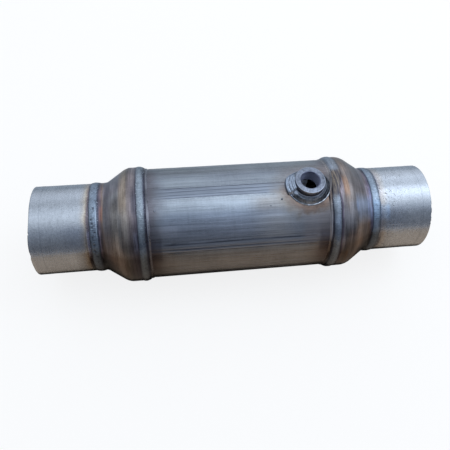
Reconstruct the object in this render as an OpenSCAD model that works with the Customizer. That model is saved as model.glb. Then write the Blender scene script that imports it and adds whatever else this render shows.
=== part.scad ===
// Universal round catalytic converter with slip-on necks and an oxygen sensor bung.
// The gas flows along +X. The origin is the middle of the inlet mouth.
// +Z runs out through the sensor bung.

/* [Necks] */
// Inside diameter of the necks, which slip over a 76.2 mm tube
neck_bore_d = 77; // [60:0.1:84]
// Wall of the necks
neck_wall = 2; // [1.2:0.1:3]
// Length of each neck, from its mouth to the middle of its weld
neck_len = 53.6; // [35:0.2:80]
// Chamfer on the outer edge of the mouths
mouth_chamfer = 0.5; // [0.2:0.1:1]

/* [Body shell] */
// Outside diameter of the body where it was pressed to size
body_d = 101.6; // [96:0.2:130]
// Wall of the body
body_wall = 1.5; // [1:0.1:2.5]
// Length of the stretch that was pressed to size
sized_len = 159; // [130:0.2:200]
// How far the unpressed ends stand out from the sized stretch
end_step = 0.8; // [0.4:0.1:1.6]
// Length of the slope between the sized stretch and an end
step_run = 1.1; // [0.8:0.1:3]
// Number of jaws that pressed the body, and so of the ridges between them
jaw_count = 6; // [4:1:12]
// Width of a ridge, in degrees about the axis
ridge_angle = 14; // [6:0.5:20]
// Height of a ridge
ridge_rise = 0.3; // [0.1:0.05:0.6]
// Turn of the first ridge from the bung, in degrees
ridge_turn = -3.5; // [-15:0.5:15]

/* [End cones] */
// Distance from the sized stretch to the corner where a cone starts to narrow
rim_len = 23; // [20:0.5:40]
// Distance from the corner where a cone ends to the middle of its neck's weld
throat_len = 5.8; // [5:0.1:12]
// Wall of the cones
cone_wall = 1.5; // [1:0.1:2.5]
// Slope of the cones, in degrees from the axis
cone_slope = 34; // [25:1:45]
// Length by which a cone's rim covers the body's end
rim_lap = 4; // [2:0.5:6]
// Play between the rim and the body's end
lap_play = 0.1; // [0.05:0.05:0.3]
// Bend radius at the cone's shoulder, on the outside
shoulder_r = 15; // [6:0.5:20]
// Bend radius where the cone meets its neck, on the inside
throat_r = 7; // [4:0.5:7]

/* [Welds] */
// Width of the welds between the cones and the body
shell_weld_w = 7.8; // [6:0.2:10]
// Crown of those welds above their toes
shell_weld_crown = 1.15; // [1.1:0.05:1.8]
// Distance from the end of the sized stretch to the toe of the weld
weld_offset = 2.5; // [2:0.1:5]
// Width of the welds between the cones and the necks
neck_weld_w = 7.3; // [5:0.1:10]
// Crown of those welds above the tube
neck_weld_crown = 0.7; // [0.3:0.05:1.2]
// Thickness left unbevelled at the root of those welds
root_land = 0.6; // [0.4:0.1:0.9]

/* [Sensor bung] */
// Outside diameter of the bung
bung_d = 27; // [22:0.1:33]
// Minor diameter of its M18 x 1.5 thread
bung_bore_d = 16.4; // [12:0.1:17]
// Height of its face above the body
bung_proud = 9.8; // [6:0.2:16]
// How far it reaches inside the body's wall
bung_reach = 1.6; // [1:0.1:3]
// Play between the bung and its hole in the body
bung_play = 0.1; // [0.05:0.05:0.2]
// Chamfer at the mouth of the thread
bung_lead = 0.8; // [0.4:0.1:1.2]
// Chamfer on the outer edge of the face
bung_edge = 0.5; // [0.2:0.1:1]
// Width of the fillet weld round the bung
bung_weld_w = 5.7; // [4:0.1:8]
// Height of that weld on the side of the bung
bung_weld_h = 4.6; // [3:0.1:5.5]
// Distance between the bung's weld and the weld of the outlet cone
bung_weld_gap = 0; // [0:0.5:12]
// Angle about the bung at which the weld starts and ends in a lump
lump_angle = 192; // [0:1:359]
// Radius of that lump
lump_r = 4.2; // [3:0.1:5]
// Height of that lump above the body
lump_h = 2.8; // [1.5:0.1:4]

/* [Catalyst bricks] */
// Gap between the two bricks
brick_gap = 12; // [8:0.5:16]
// Distance of the front brick's face from the start of the sized stretch
brick_set_back = 9; // [6:0.5:12]
// Room between the rear brick's face and the bung
sensor_room = 6.2; // [4:0.1:10]
// Pitch of the square cells
cell_pitch = 3.6; // [3.2:0.1:8]
// Wall between two cells
cell_wall = 0.5; // [0.3:0.05:1]
// Least thickness of the brick's outer skin
skin = 0.8; // [0.6:0.1:2]

/* [Mats and seals] */
// Thickness of the mats between the bricks and the body
mat_t = 2.8; // [2:0.02:5]
// Length of the wire mesh seal at each end of a brick
seal_len = 4.5; // [3:0.5:8]
// Space between a seal and the mat
seal_space = 0.4; // [0.2:0.1:1]
// Width of the split in the mat and in the seals
split_w = 0.5; // [0.3:0.1:1]
// Length of the tongue in the mat's split, round the brick
tongue_len = 14; // [8:1:20]

/* [Hidden] */

$fn = 96;
arc_steps = 8;
bead_steps = 12;
// How full a bead's profile is: 1 is a sine, and less is flatter on top
lap_bead_power = 0.8;
butt_bead_power = 0.6;
// How far a cutter runs past what it cuts
over = 1;

neck_r = neck_bore_d / 2;
neck_out_r = neck_r + neck_wall;
body_r = body_d / 2;
body_in_r = body_r - body_wall;
end_r = body_r + end_step;
rim_in_r = end_r + lap_play;
rim_r = rim_in_r + cone_wall;

// Places along the axis, measured from the middle of the body towards the outlet
half_sized = sized_len / 2;
shell_weld_in = half_sized + weld_offset;
shell_weld_out = shell_weld_in + shell_weld_w;
rim_edge = (shell_weld_in + shell_weld_out) / 2;
body_end = rim_edge + rim_lap;
shoulder_x = half_sized + rim_len;
throat_x = shoulder_x + (rim_r - neck_out_r) / tan(cone_slope);
neck_weld_x = throat_x + throat_len;
half_len = neck_weld_x + neck_len;
bung_r = bung_d / 2;
bung_weld_r = bung_r + bung_weld_w;
bung_x = shell_weld_in - bung_weld_gap - bung_weld_r;

// The bricks fill the length between the inlet's chamber and the sensor, less their gap
front_brick_x = -half_sized + brick_set_back;
rear_brick_end = bung_x - bung_r - sensor_room;
brick_len = (rear_brick_end - front_brick_x - brick_gap) / 2;
rear_brick_x = rear_brick_end - brick_len;
brick_r = body_in_r - mat_t;
mat_len = brick_len - 2 * (seal_len + seal_space);

bung_face = body_r + bung_proud;
bung_foot = body_in_r - bung_reach;
lump_at = bung_r + lump_r / 2;

steel = [0.62, 0.64, 0.67];
grained_steel = [0.46, 0.46, 0.47];
tinted_steel = [0.42, 0.36, 0.32];
weld_blue = [0.40, 0.46, 0.54];
bung_steel = [0.45, 0.46, 0.50];
ceramic = [0.80, 0.74, 0.62];
mat_white = [0.90, 0.88, 0.82];
mesh_wire = [0.55, 0.55, 0.53];

// Turns a profile drawn as (distance along the axis, radius) into a body about the X axis
module turn_about_x(points) {
    rotate([0, 90, 0])
        rotate_extrude()
            polygon([for (p = points) [p[1], p[0]]]);
}

// Puts a piece of the outlet's half at the inlet as well, or at the outlet alone
module at_outlet() {
    translate([half_len, 0, 0]) children();
}

module at_inlet() {
    translate([half_len, 0, 0]) mirror([1, 0, 0]) children();
}

// Points of a bend of radius r from direction a to direction b, whose corner would be at c
function bend(c, r, a, b, steps = arc_steps) =
    let (
        turn = b - a,
        side = sign(turn),
        run = r * tan(abs(turn) / 2),
        start = [c[0] - run * cos(a), c[1] - run * sin(a)],
        mid = [start[0] - side * r * sin(a), start[1] + side * r * cos(a)]
    )
    [for (i = [0:steps])
        let (t = a + turn * i / steps)
        [mid[0] + side * r * sin(t), mid[1] - side * r * cos(t)]];

// The cone's outline at a depth below its outer surface, from the rim's edge to the neck's end
function cone_line(depth) =
    let (shift = depth * tan(cone_slope / 2))
    concat(
        [[rim_edge, rim_r - depth]],
        bend([shoulder_x - shift, rim_r - depth], shoulder_r - depth, 0, -cone_slope),
        bend([throat_x - shift, neck_out_r - depth], throat_r + depth, -cone_slope, 0)
    );

function reversed(v) = [for (i = [len(v) - 1:-1:0]) v[i]];

// A spun cone: its rim slips over the body's end and its neck's end is bevelled for the weld
module cone_half() {
    bevel = cone_wall - root_land;
    turn_about_x(concat(
        cone_line(0),
        [[neck_weld_x - bevel, neck_out_r], [neck_weld_x, neck_out_r - bevel]],
        [[neck_weld_x, neck_out_r - cone_wall]],
        reversed(cone_line(cone_wall))
    ));
}

// A neck: a plain tube, bevelled for the weld and chamfered at its mouth
module neck_half() {
    bevel = cone_wall - root_land;
    turn_about_x([
        [neck_weld_x + bevel, neck_out_r],
        [half_len - mouth_chamfer, neck_out_r],
        [half_len, neck_out_r - mouth_chamfer],
        [half_len, neck_r],
        [neck_weld_x, neck_r],
        [neck_weld_x, neck_out_r - bevel]
    ]);
}

// Points over the crown of a weld bead, from its toe p to its toe q
function bead_line(p, q, crown, power) =
    [for (i = [0:bead_steps])
        let (t = i / bead_steps)
        [p[0] + (q[0] - p[0]) * t, p[1] + (q[1] - p[1]) * t + crown * pow(sin(180 * t), power)]];

// The lap weld: it fills the corner between the body's end and the rim's edge
module shell_weld_half() {
    turn_about_x(concat(
        bead_line([shell_weld_in, end_r], [shell_weld_out, rim_r], shell_weld_crown, lap_bead_power),
        [[rim_edge, rim_r], [rim_edge, end_r]]
    ));
}

// The butt weld: it fills the groove between the cone's neck and the tube
module neck_weld_half() {
    bevel = cone_wall - root_land;
    turn_about_x(concat(
        bead_line([neck_weld_x - neck_weld_w / 2, neck_out_r],
                  [neck_weld_x + neck_weld_w / 2, neck_out_r], neck_weld_crown, butt_bead_power),
        [[neck_weld_x + bevel, neck_out_r], [neck_weld_x, neck_out_r - bevel],
         [neck_weld_x - bevel, neck_out_r]]
    ));
}

// The body's surface at a depth below its outside, from end to end
function body_line(depth) =
    let (
        ends = end_r - depth,
        middle = body_r - depth,
        foot = half_sized,
        top = half_sized + step_run
    )
    [[-body_end, ends], [-top, ends], [-foot, middle], [foot, middle], [top, ends], [body_end, ends]];

// Closed solid that the body's outside bounds, ridges included
module body_outside() {
    turn_about_x(concat([[-body_end, 0]], body_line(0), [[body_end, 0]]));
    ridges();
}

// The ridges that the metal forms in the gaps between the jaws
module ridges() {
    for (i = [0:jaw_count - 1])
        rotate([ridge_turn + i * 360 / jaw_count, 0, 0])
            intersection() {
                rotate([0, 90, 0])
                    cylinder(h = sized_len, r = body_r + ridge_rise, center = true);
                rotate([0, -90, 0])
                    translate([0, 0, -half_sized])
                        linear_extrude(height = sized_len)
                            polygon([[0, 0], ridge_corner(-1), ridge_corner(1)]);
            }
}

// A corner of the wedge that cuts one ridge out of the ring
function ridge_corner(side) =
    let (reach = body_r + ridge_rise + over)
    [reach, side * reach * tan(ridge_angle / 2)];

module body_shell() {
    color(grained_steel)
        translate([half_len, 0, 0])
            difference() {
                body_outside();
                turn_about_x(concat(
                    [[-body_end - over, 0], [-body_end - over, end_r - body_wall]],
                    body_line(body_wall),
                    [[body_end + over, end_r - body_wall], [body_end + over, 0]]
                ));
                translate([bung_x, 0, 0])
                    cylinder(h = body_d, r = bung_r + bung_play);
            }
}

// The bung: a plain ring, threaded for the sensor, through the body's wall
module sensor_bung() {
    bore_r = bung_bore_d / 2;
    color(bung_steel)
        translate([half_len + bung_x, 0, 0])
            rotate_extrude()
                polygon([
                    [bore_r, bung_foot],
                    [bung_r, bung_foot],
                    [bung_r, bung_face - bung_edge],
                    [bung_r - bung_edge, bung_face],
                    [bore_r + bung_lead, bung_face],
                    [bore_r, bung_face - bung_lead]
                ]);
}

// The fillet weld round the bung, laid on the body, with the lump where it starts and ends
module sensor_bung_weld() {
    color(weld_blue)
        translate([half_len, 0, 0])
            difference() {
                translate([bung_x, 0, 0]) {
                    rotate_extrude()
                        polygon(concat(
                            [[bung_r, body_in_r]],
                            [for (i = [0:bead_steps]) bung_bead(i / bead_steps)]
                        ));
                    rotate([0, 0, lump_angle])
                        translate([lump_at, 0, 0])
                            cylinder(h = body_r + lump_h, r = lump_r);
                }
                body_outside();
                translate([bung_x, 0, 0])
                    cylinder(h = 2 * body_r, r = bung_r);
            }
}

// A point of the fillet's face, from its outer toe to its top on the bung
function bung_bead(t) =
    [bung_weld_r + (bung_r - bung_weld_r) * t,
     body_in_r + (bung_weld_h + body_wall) * pow(sin(90 * t), lap_bead_power)];

// A brick of square cells, each one open from face to face
module brick(x) {
    room = brick_r - skin;
    reach = floor(room / cell_pitch);
    hole = cell_pitch - cell_wall;
    translate([half_len + x, 0, 0])
        rotate([0, 90, 0])
            linear_extrude(height = brick_len)
                difference() {
                    circle(r = brick_r);
                    for (i = [-reach:reach], j = [-reach:reach])
                        if (norm([abs(i) * cell_pitch + hole / 2, abs(j) * cell_pitch + hole / 2]) < room)
                            translate([i * cell_pitch, j * cell_pitch])
                                square(hole, center = true);
                }
}

module front_brick() {
    color(ceramic) brick(front_brick_x);
}

module rear_brick() {
    color(ceramic) brick(rear_brick_x);
}

// A ring that fills the space between the brick and the body
module wrap(x, length) {
    translate([half_len + x, 0, 0])
        rotate([0, 90, 0])
            difference() {
                cylinder(h = length, r = body_in_r);
                translate([0, 0, -over])
                    cylinder(h = length + 2 * over, r = brick_r);
            }
}

// The mat: a fibre sheet round the brick, whose ends meet in a tongue and a slot
module mat(x) {
    third = mat_len / 3;
    start = x + seal_len + seal_space;
    difference() {
        wrap(start, mat_len);
        translate([half_len + start, 0, -body_r]) {
            split(-over, third, 0);
            split(third, 2 * third, tongue_len);
            split(2 * third, mat_len + over, 0);
            step_split(third);
            step_split(2 * third);
        }
    }
}

// A slit along the axis, at a distance y round the underside
module split(from, to, y) {
    translate([from, y - split_w / 2, 0])
        cube([to - from, split_w, body_r - brick_r / 2]);
}

// A slit across the axis, between the two rows of slits
module step_split(at) {
    translate([at - split_w / 2, -split_w / 2, 0])
        cube([split_w, tongue_len + split_w, body_r - brick_r / 2]);
}

module front_mat() {
    color(mat_white) mat(front_brick_x);
}

module rear_mat() {
    color(mat_white) mat(rear_brick_x);
}

// A seal: a split ring of knitted wire at one end of a mat
module seal(x) {
    difference() {
        wrap(x, seal_len);
        translate([half_len + x - over, -split_w / 2, -body_r])
            cube([seal_len + 2 * over, split_w, body_r - brick_r / 2]);
    }
}

module front_mat_inlet_seal() {
    color(mesh_wire) seal(front_brick_x);
}

module front_mat_outlet_seal() {
    color(mesh_wire) seal(front_brick_x + brick_len - seal_len);
}

module rear_mat_inlet_seal() {
    color(mesh_wire) seal(rear_brick_x);
}

module rear_mat_outlet_seal() {
    color(mesh_wire) seal(rear_brick_x + brick_len - seal_len);
}

module inlet_pipe() {
    color(steel) at_inlet() neck_half();
}

module outlet_pipe() {
    color(steel) at_outlet() neck_half();
}

module inlet_pipe_weld() {
    color(weld_blue) at_inlet() neck_weld_half();
}

module outlet_pipe_weld() {
    color(weld_blue) at_outlet() neck_weld_half();
}

module inlet_cone() {
    color(tinted_steel) at_inlet() cone_half();
}

module outlet_cone() {
    color(tinted_steel) at_outlet() cone_half();
}

module inlet_shell_weld() {
    color(weld_blue) at_inlet() shell_weld_half();
}

module outlet_shell_weld() {
    color(weld_blue) at_outlet() shell_weld_half();
}

inlet_pipe();
inlet_pipe_weld();
inlet_cone();
inlet_shell_weld();
body_shell();
sensor_bung();
sensor_bung_weld();
front_brick();
rear_brick();
front_mat();
rear_mat();
front_mat_inlet_seal();
front_mat_outlet_seal();
rear_mat_inlet_seal();
rear_mat_outlet_seal();
outlet_shell_weld();
outlet_cone();
outlet_pipe_weld();
outlet_pipe();
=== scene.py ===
"""Looks for the catalytic converter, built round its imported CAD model.

Sizes and places in the code that makes the pieces are in millimetres, and the pieces themselves in metres.
"""
import math
from functools import cached_property, reduce

import bmesh
import bpy
import numpy as np
from mathutils import Matrix, Vector


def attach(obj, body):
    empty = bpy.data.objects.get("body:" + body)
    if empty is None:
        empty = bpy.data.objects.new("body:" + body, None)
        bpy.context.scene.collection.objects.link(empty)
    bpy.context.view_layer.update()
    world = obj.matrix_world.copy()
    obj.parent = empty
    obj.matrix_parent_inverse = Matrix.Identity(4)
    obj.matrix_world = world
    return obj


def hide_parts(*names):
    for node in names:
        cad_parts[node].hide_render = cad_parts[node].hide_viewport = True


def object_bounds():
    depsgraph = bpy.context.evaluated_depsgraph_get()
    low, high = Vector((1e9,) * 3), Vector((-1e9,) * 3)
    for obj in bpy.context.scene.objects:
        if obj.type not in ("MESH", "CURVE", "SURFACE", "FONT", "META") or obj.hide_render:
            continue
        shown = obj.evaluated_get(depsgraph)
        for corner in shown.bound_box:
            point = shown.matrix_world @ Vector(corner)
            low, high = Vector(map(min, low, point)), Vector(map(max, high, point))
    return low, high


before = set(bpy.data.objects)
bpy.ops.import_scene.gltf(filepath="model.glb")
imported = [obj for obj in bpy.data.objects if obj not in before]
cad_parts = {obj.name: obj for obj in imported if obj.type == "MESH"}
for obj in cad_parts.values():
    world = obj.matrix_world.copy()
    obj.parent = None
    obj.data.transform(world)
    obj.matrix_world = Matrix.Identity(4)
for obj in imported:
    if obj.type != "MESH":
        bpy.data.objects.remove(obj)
cad_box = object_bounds()

MM = 0.001
TAU = 2 * math.pi

# Sizes of the part, as its CAD nodes have them. Places along the axis are distances from its middle
MID = 180.729
HALF_LEN = 180.729
PIPE_R, BORE_R = 40.5, 38.5
BODY_R, BODY_IN_R, END_R = 50.8, 49.3, 51.6
RIM_R = 53.2
WALL = 1.5
HALF_SIZED, STEP_RUN = 79.5, 1.1
BODY_END = 89.9
RIM_EDGE = 85.9
SHOULDER, THROAT = 102.5, 121.332
SHOULDER_BEND, THROAT_BEND = 15.0, 7.0
SLOPE = math.radians(34)
NECK_WELD = 127.132
SHELL_WELD = (82.0, 89.8)
BUNG_X, BUNG_R, BUNG_FACE, BUNG_FOOT = 243.529, 13.5, 60.6, 47.7
THREAD_MINOR, THREAD_MAJOR, THREAD_PITCH = 8.2, 9.0, 1.5
FILLET_R, FILLET_STRETCH, SHELF = 18.5, 1.9, 0.17
BRICK_R, BRICK_LEN = 46.5, 50.8
FRONT_BRICK, REAR_BRICK = 110.23, 173.03
RIDGE_RISE = 0.3
CROOKED = 4.8
DRAWN_IN = 4.0
ASKEW = 2.0


# Mesh helpers

def smooth(t):
    t = np.clip(t, 0, 1)
    return t * t * (3 - 2 * t)


def band(x, lo, hi, edge):
    """1 between lo and hi, falling to 0 over edge on both sides."""
    return smooth((x - lo) / edge + 0.5) * smooth((hi - x) / edge + 0.5)


def angle_from(turn, degrees):
    """Signed angle from a place round the axis, in degrees."""
    return (np.degrees(turn) - degrees + 180) % 360 - 180


def crooked(turn):
    """How much further out the outlet end of the body and its weld sit at the back, in millimetres."""
    angle = angle_from(turn, 0)
    return CROOKED * smooth((14 - angle) / 30) * smooth((angle + 150) / 60)


def drawn_in(place, turn):
    """How much nearer the middle the inlet cone's slope sits at the back, in millimetres."""
    angle = angle_from(turn, 0)
    there = smooth((place - 94) / 9) * smooth((126 - place) / 6)
    return DRAWN_IN * there * smooth((22 - angle) / 56) * smooth((angle + 150) / 60)


def lattice_noise(u, v, nu, nv, seed):
    """Smooth noise from -1 to 1. u and v run from 0 to 1, and v wraps round."""
    table = np.random.default_rng(seed).uniform(-1, 1, (nu + 2, nv))
    fu, fv = np.clip(u, 0, 1) * nu, (v % 1.0) * nv
    iu, iv = np.floor(fu).astype(int), np.floor(fv).astype(int) % nv
    tu, tv = smooth(fu - np.floor(fu)), smooth(fv - np.floor(fv))
    jv = (iv + 1) % nv
    low = table[iu, iv] * (1 - tv) + table[iu, jv] * tv
    high = table[iu + 1, iv] * (1 - tv) + table[iu + 1, jv] * tv
    return low * (1 - tu) + high * tu


def round_noise(turn, waves, seed):
    """Smooth noise that changes only with the turn."""
    return lattice_noise(0 * turn, turn / TAU, 1, waves, seed)


def link_object(name, mesh):
    obj = bpy.data.objects.new(name, mesh)
    bpy.context.scene.collection.objects.link(obj)
    return obj


def make_object(name, verts_mm, faces, sharp=35):
    mesh = bpy.data.meshes.new(name)
    mesh.from_pydata((np.asarray(verts_mm).reshape(-1, 3) * MM).tolist(), [], faces)
    bm = bmesh.new()
    bm.from_mesh(mesh)
    bmesh.ops.recalc_face_normals(bm, faces=bm.faces)
    bm.to_mesh(mesh)
    bm.free()
    mesh.shade_smooth()
    mesh.set_sharp_from_angle(angle=math.radians(sharp))
    return link_object(name, mesh)


def torus_faces(n_line, n_turn):
    i, j = np.meshgrid(np.arange(n_line), np.arange(n_turn), indexing="ij")
    i2, j2 = (i + 1) % n_line, (j + 1) % n_turn
    quads = np.stack([i * n_turn + j, i2 * n_turn + j, i2 * n_turn + j2, i * n_turn + j2], axis=-1)
    return quads.reshape(-1, 4).tolist()


def resample(points, step):
    """Adds points on a line so that none are further apart than step."""
    out = []
    for p, q in zip(points, points[1:]):
        n = max(1, math.ceil(math.dist(p, q) / step))
        for k in range(n):
            t = k / n
            out.append((p[0] + (q[0] - p[0]) * t, p[1] + (q[1] - p[1]) * t))
    out.append(points[-1])
    return out


def grid(outline, turns):
    """Arrays of the outline's two coordinates and of the turn, with a row for each of its points."""
    line = np.array(outline, float)
    first, second = (np.repeat(line[:, k:k + 1], len(turns), axis=1) for k in (0, 1))
    return first, second, np.repeat(turns[None, :], len(line), axis=0)


def about_x(x, radius, turn):
    return np.stack([x, -radius * np.sin(turn), radius * np.cos(turn)], axis=-1)


def about_bung(radius, height, turn):
    return np.stack([BUNG_X + radius * np.cos(turn), radius * np.sin(turn), height], axis=-1)


def turned(name, outline, n_turn, move, side=1):
    """Revolves a closed outline of (place, radius) about X. move changes the arrays of place and radius."""
    place, radius, turn = grid(outline, np.arange(n_turn) * TAU / n_turn)
    place, radius = move(place, radius, turn)
    return make_object(name, about_x(MID + side * place, radius, turn), torus_faces(len(outline), n_turn))


def bend(corner, r, a, b, steps):
    """Points of a bend of radius r from direction a to direction b, whose corner would be at corner."""
    side = 1 if b > a else -1
    run = r * math.tan(abs(b - a) / 2)
    start = (corner[0] - run * math.cos(a), corner[1] - run * math.sin(a))
    mid = (start[0] - side * r * math.sin(a), start[1] + side * r * math.cos(a))
    out = []
    for k in range(steps + 1):
        t = a + (b - a) * k / steps
        out.append((mid[0] + side * r * math.sin(t), mid[1] - side * r * math.cos(t)))
    return out


# Pieces

def tube(name, side, seed):
    bevel = 0.9
    outer = resample([(NECK_WELD + bevel, PIPE_R), (HALF_LEN - 0.5, PIPE_R)], 0.8)
    inner = resample([(HALF_LEN, BORE_R + 0.25), (HALF_LEN - 0.35, BORE_R), (NECK_WELD, BORE_R)], 4)
    lip = [(HALF_LEN - 0.2, PIPE_R - 0.12), (HALF_LEN, PIPE_R - 0.45)]
    outline = outer + lip + inner + [(NECK_WELD, PIPE_R - bevel)]

    def move(place, radius, turn):
        v = turn / TAU
        from_mouth = HALF_LEN - place
        outside = radius > (PIPE_R + BORE_R) / 2
        # The mouth was sized, so it is a hair larger, with a faint ring behind it
        sizing = 0.07 * smooth((from_mouth - 8.2) / 0.7) - 0.05 * band(from_mouth, 8.0, 8.9, 0.5)
        dents = 0.05 * lattice_noise(place / HALF_LEN, v, 24, 14, seed)
        radius = radius + outside * (-np.abs(sizing) - 0.05 + dents) * smooth(from_mouth / 2)
        # The lip is worn and nicked
        nicks = round_noise(turn, 90, seed + 1)
        patchy = 0.12 * (round_noise(turn, 12, seed + 2) + 1) + 0.5 * smooth((nicks - 0.72) / 0.28)
        if side < 0:
            askew = ASKEW * band(angle_from(turn, 75), -45, 45, 40)
            place = place + askew * smooth((place - 150) / 30)
        return place - patchy * smooth(1 - from_mouth / 0.9), radius

    return turned(name, outline, 360, move, side)


def cone_line(depth, steps):
    shift = depth * math.tan(SLOPE / 2)
    rim = bend((SHOULDER - shift, RIM_R - depth), SHOULDER_BEND - depth, 0, -SLOPE, steps)
    throat = bend((THROAT - shift, PIPE_R - depth), THROAT_BEND + depth, -SLOPE, 0, steps)
    return [(RIM_EDGE, RIM_R - depth)] + rim + throat


def cone(name, side, seed):
    bevel = WALL - 0.6
    outer = cone_line(0, 20) + [(NECK_WELD - bevel, PIPE_R)]
    inner = cone_line(WALL, 10)
    outline = resample(outer, 0.5) + [(NECK_WELD, PIPE_R - bevel), (NECK_WELD, PIPE_R - WALL)]
    outline += resample(inner[::-1], 3)

    def move(place, radius, turn):
        v = turn / TAU
        limit = np.interp(place, [p[0] for p in outer], [p[1] for p in outer])
        outside = radius > limit - WALL / 2
        u = (place - RIM_EDGE) / (NECK_WELD - RIM_EDGE)
        rings = lattice_noise(u, v, 60, 3, seed) * 0.5 + lattice_noise(u, v, 26, 2, seed + 1) * 0.5
        free = band(u, 0.12, 0.9, 0.1)
        if side > 0:
            place = place + crooked(turn) * smooth((97 - place) / 10)
        else:
            place = place - drawn_in(place, turn)
        return place, radius + outside * free * (0.05 * rings - 0.06)

    return turned(name, outline, 400, move, side)


def pits(place, turn, radius, centres):
    """Depth of small craters whose centres are (place, angle in degrees, size, depth)."""
    depth = np.zeros_like(place)
    for c_place, c_angle, size, deep in centres:
        away = (turn - math.radians(c_angle) + math.pi) % TAU - math.pi
        d2 = ((place - c_place) ** 2 + (away * radius) ** 2) / size ** 2
        depth += deep * np.exp(-d2 * 1.4)
    return depth


def ripple(turn, count, seed):
    """Fine waves of a weld pool, uneven in length."""
    return np.sin(TAU * (count * turn / TAU + 0.35 * round_noise(turn, 40, seed)))


def bead(name, side, toes, crown, power, root, n_turn, wave, centres, seed):
    """A weld bead: its face runs from toe to toe, and root closes it below."""
    steps = 26
    face = []
    (first, low), (last, high) = toes
    width = last - first
    for k in range(steps + 1):
        t = k / steps
        face.append((first + width * t, low + (high - low) * t + crown * math.sin(math.pi * t) ** power))

    def move(place, radius, turn):
        v = turn / TAU
        on_face = np.zeros_like(place)
        on_face[:len(face)] = 1
        t = np.clip((place - first) / width, 0, 1)
        hump = np.sin(math.pi * t)
        bow = ripple(turn + 0.012 * (1 - hump), wave, seed)
        uneven = lattice_noise(t, v, 5, 150, seed + 1)
        broad = lattice_noise(t, v, 2, 24, seed + 2)
        lift = hump * (0.045 * bow + 0.07 * uneven + 0.1 * broad - 0.2)
        lift -= pits(place, turn, radius, centres)
        wander = 0.28 * round_noise(turn, 60, seed + 3) * (1 - hump) * on_face
        moved = place + wander * np.where(t < 0.5, 1, -1)
        if side > 0 and first < SHOULDER:
            moved = moved + crooked(turn)
        return moved, radius + on_face * lift

    return turned(name, face + root, n_turn, move, side)


def neck_bead(name, side, centres, seed):
    half, bevel = 3.95, 0.9
    toes = [(NECK_WELD - half, PIPE_R - 0.05), (NECK_WELD + half, PIPE_R - 0.05)]
    root = [(NECK_WELD + bevel, PIPE_R - 0.1), (NECK_WELD, PIPE_R - bevel), (NECK_WELD - bevel, PIPE_R - 0.1)]
    return bead(name, side, toes, 0.9, 0.6, root, 640, 150, centres, seed)


def shell_bead(name, side, centres, seed):
    toes = [(SHELL_WELD[0], END_R), (SHELL_WELD[1], RIM_R)]
    root = [(RIM_EDGE, RIM_R), (RIM_EDGE, END_R)]
    return bead(name, side, toes, 1.3, 0.75, root, 720, 190, centres, seed)


def body_radius(place):
    away = np.abs(place)
    return BODY_R + (END_R - BODY_R) * np.clip((away - HALF_SIZED) / STEP_RUN, 0, 1)


# The gaps between the six dies left a low ridge each: middle and half width, as angles
RIDGES = [(-0.5, 5.9), (55.6, 5.0), (116.5, 6.5), (176.5, 6.0), (-123.5, 6.5), (-63.5, 5.5)]
# Grooves that the dies scratched: angle, half width and depth of colour
GROOVES = [
    (-5.9, 0.6, 0.7), (-1.9, 0.55, 0.5), (1.9, 0.5, 0.45), (4.9, 0.5, 0.6), (48.6, 0.45, 0.25),
    (51.6, 0.9, 0.75), (57, 0.6, 0.6), (60.4, 0.6, 0.65), (110.2, 0.6, 0.5), (114, 0.5, 0.4),
    (122.8, 0.6, 0.55), (171, 0.5, 0.5), (179, 0.5, 0.4), (-129.6, 0.6, 0.5), (-124, 0.5, 0.4),
    (-117.4, 0.5, 0.5), (-68.4, 0.5, 0.5), (-61, 0.5, 0.45)]


def body_surface(place, turn):
    """Radius of the body's outside, with the marks of the dies that pressed it."""
    v = turn / TAU
    u = (place + BODY_END) / (2 * BODY_END)
    jag = 0.55 * lattice_noise(u, v, 110, 6, 11) + 0.35 * lattice_noise(u, v, 45, 6, 12)
    ridge = np.zeros_like(place)
    for centre, half in RIDGES:
        ridge = np.maximum(ridge, smooth((half + jag - np.abs(angle_from(turn, centre))) / 1.1 + 0.5))
    lines = np.zeros_like(place)
    for k, (centre, half, depth) in enumerate(GROOVES):
        drift = 0.10 * lattice_noise(u, v, 30, 6, 20 + k)
        strength = 0.75 + 0.25 * lattice_noise(u, v, 9, 6, 60 + k)
        lines += depth * strength * np.exp(-(((angle_from(turn, centre) + drift) / half) ** 2))
    drawn = lattice_noise(u, v, 3, 260, 13) + 0.6 * lattice_noise(u, v, 8, 420, 14)
    broad = lattice_noise(u, v, 4, 18, 15)
    sized = band(np.abs(place), -1, HALF_SIZED, 1.0)
    height = RIDGE_RISE * ridge - 0.28 * lines + 0.022 * drawn + 0.05 * broad - 0.05
    return body_radius(place) + sized * height


def shell(name):
    """The body's tube, with the hole for the bung cut through it."""
    sized_end = HALF_SIZED + STEP_RUN
    corners = [(-BODY_END, END_R), (-sized_end, END_R), (-HALF_SIZED, BODY_R), (HALF_SIZED, BODY_R),
               (sized_end, END_R), (BODY_END, END_R)]
    outer = []
    for p, q, step in zip(corners, corners[1:], (2, 0.4, 1.25, 0.4, 2)):
        outer += resample([p, q], step)[:-1]
    outer.append(corners[-1])
    inside = [(BODY_END, END_R - WALL), (sized_end, END_R - WALL), (HALF_SIZED, BODY_IN_R)]
    inner = resample(inside + [(-p, r) for p, r in inside[::-1]], 12)
    n_outer = len(outer)

    def move(place, radius, turn):
        radius[:n_outer] = body_surface(place[:n_outer], turn[:n_outer])
        return place + crooked(turn) * smooth((place - 62) / 17), radius

    obj = turned(name, outer + inner, 600, move)
    cutter = turned_z("bung_hole", [(0.01, 70), (BUNG_R + 0.1, 70), (BUNG_R + 0.1, 30), (0.01, 30)], 192)
    cut = obj.modifiers.new("hole", "BOOLEAN")
    cut.operation = "DIFFERENCE"
    cut.object = cutter
    cut.solver = "EXACT"
    apply_modifiers(obj)
    bpy.data.objects.remove(cutter)
    obj.data.set_sharp_from_angle(angle=math.radians(35))
    return obj


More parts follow.
